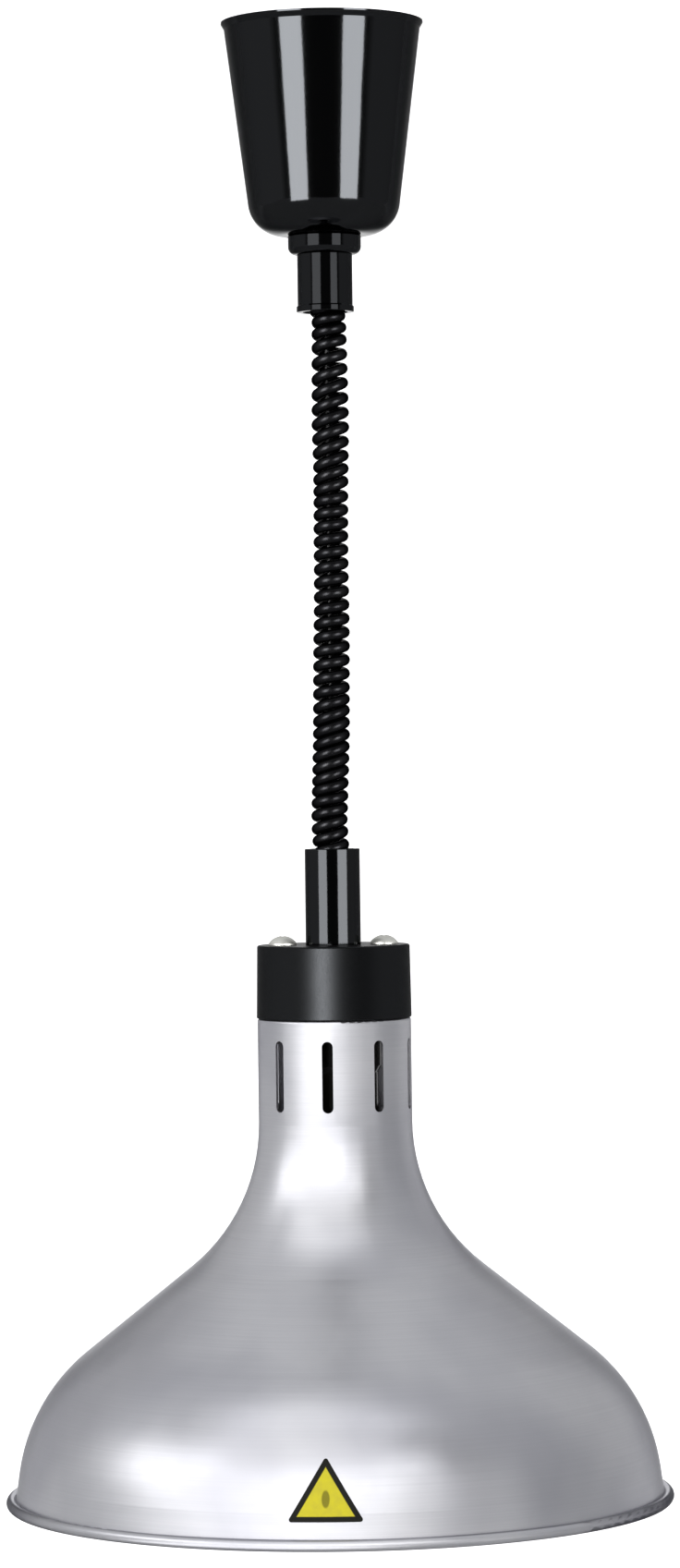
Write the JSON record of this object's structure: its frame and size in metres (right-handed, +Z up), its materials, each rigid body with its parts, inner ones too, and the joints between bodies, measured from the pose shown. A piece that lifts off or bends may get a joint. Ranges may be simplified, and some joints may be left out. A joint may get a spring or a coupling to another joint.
{
  "type": "rise-and-fall heat lamp",
  "caption": "Ceiling heat lamp on a spring reel, with a tapered canopy, a coiled cord, sleeves, a round cap and a slotted spun bell shade over a reflector bulb.",
  "frame": {"origin": "centre of the canopy's rim on the ceiling plane, midway between the two ceiling screw slots", "axes": "+Z up, away from the lamp and into the ceiling; the lamp hangs along -Z; -Y is the front, where the label is; +X is to the right seen from the front"},
  "size_m": [0.29, 0.29, 0.643],
  "materials": {
    "black_gloss_paint": "gloss",
    "black_satin_paint": "satin",
    "spun_aluminium": "satin",
    "zinc_steel": "satin",
    "bright_steel": "polished",
    "spring_steel": "satin",
    "wire_steel": "satin",
    "brass": "satin",
    "drum_plastic": "matte",
    "guide_plastic": "matte",
    "clamp_plastic": "matte",
    "terminal_plastic": "matte",
    "black_rubber": "satin",
    "brown_insulation": "satin",
    "blue_insulation": "satin",
    "green_yellow_insulation": "satin",
    "porcelain": "gloss",
    "base_metal": "satin",
    "black_glass": "gloss",
    "solder": "satin",
    "bulb_glass": "gloss",
    "stem_glass": "gloss",
    "tungsten": "satin",
    "label_film": "satin"
  },
  "bodies": {
    "ceiling_unit": {"ceiling_bracket": "zinc_steel", "reel_frame": "zinc_steel", "frame_screws": "zinc_steel", "earth_screw": "brass", "reel_axle": "bright_steel", "axle_clips": "spring_steel", "axle_washers": "bright_steel", "threaded_stem": "zinc_steel", "stem_locknuts": "zinc_steel", "canopy": "black_gloss_paint", "collar_nut": "black_gloss_paint", "upper_sleeve": "black_gloss_paint", "wire_guide": "guide_plastic", "cord_clamp": "clamp_plastic", "clamp_screws": "zinc_steel", "terminal_block": "terminal_plastic", "terminal_barrels": "brass", "terminal_screws": "zinc_steel", "block_screws": "zinc_steel", "cord_upper_tail": "black_rubber", "live_conductor": "brown_insulation", "earth_conductor": "green_yellow_insulation", "neutral_conductor": "blue_insulation", "wire_lead_in": "wire_steel"},
    "reel": {"reel_drum": "drum_plastic", "mainspring": "spring_steel", "spring_cover": "zinc_steel", "cover_screws": "zinc_steel", "wire_windings": "wire_steel"},
    "hanging_run": {"suspension_wire": "wire_steel", "curly_cord": "black_rubber"},
    "lamp_head": {"lower_sleeve": "black_gloss_paint", "wire_anchor": "zinc_steel", "wire_ferrule": "bright_steel", "lamp_nipple": "zinc_steel", "nipple_locknut": "zinc_steel", "cord_lower_tail": "black_rubber", "cap": "black_satin_paint", "cap_screws": "zinc_steel", "cap_screw_nuts": "zinc_steel", "shade": "spun_aluminium", "shade_label": "label_film", "holder_plate": "zinc_steel", "holder_screws": "zinc_steel", "holder_earth_screw": "brass", "lampholder": "porcelain", "screw_shell": "brass", "centre_contact": "brass", "holder_terminals": "brass", "holder_live_conductor": "brown_insulation", "holder_neutral_conductor": "blue_insulation", "holder_earth_conductor": "green_yellow_insulation", "bulb_base": "base_metal", "bulb_insulator": "black_glass", "bulb_contact": "solder", "bulb_glass": "bulb_glass", "glass_stem": "stem_glass", "filament": "tungsten", "filament_supports": "tungsten"}
  },
  "joints": [
    {"name": "lamp_swing", "type": "hinge", "parent": "ceiling_unit", "child": "hanging_run", "pos_m": [0, 0, -0.1259], "axis": [0, 1, 0], "range_deg": [-15, 15]},
    {"name": "lamp_drop", "type": "slide", "parent": "hanging_run", "child": "lamp_head", "axis": [0, 0, -1], "range_m": [0, 0.93], "deforming": ["curly_cord", "suspension_wire"]},
    {"name": "reel_spin", "type": "hinge", "parent": "ceiling_unit", "child": "reel", "pos_m": [-0.0146, 0, -0.04], "axis": [0, 1, 0], "range_deg": [0, 3660], "deforming": ["mainspring"]}
  ],
  "couplings": [
    {"joint": "reel_spin", "follows": "lamp_drop", "rad_per_m": 68.493}
  ]
}
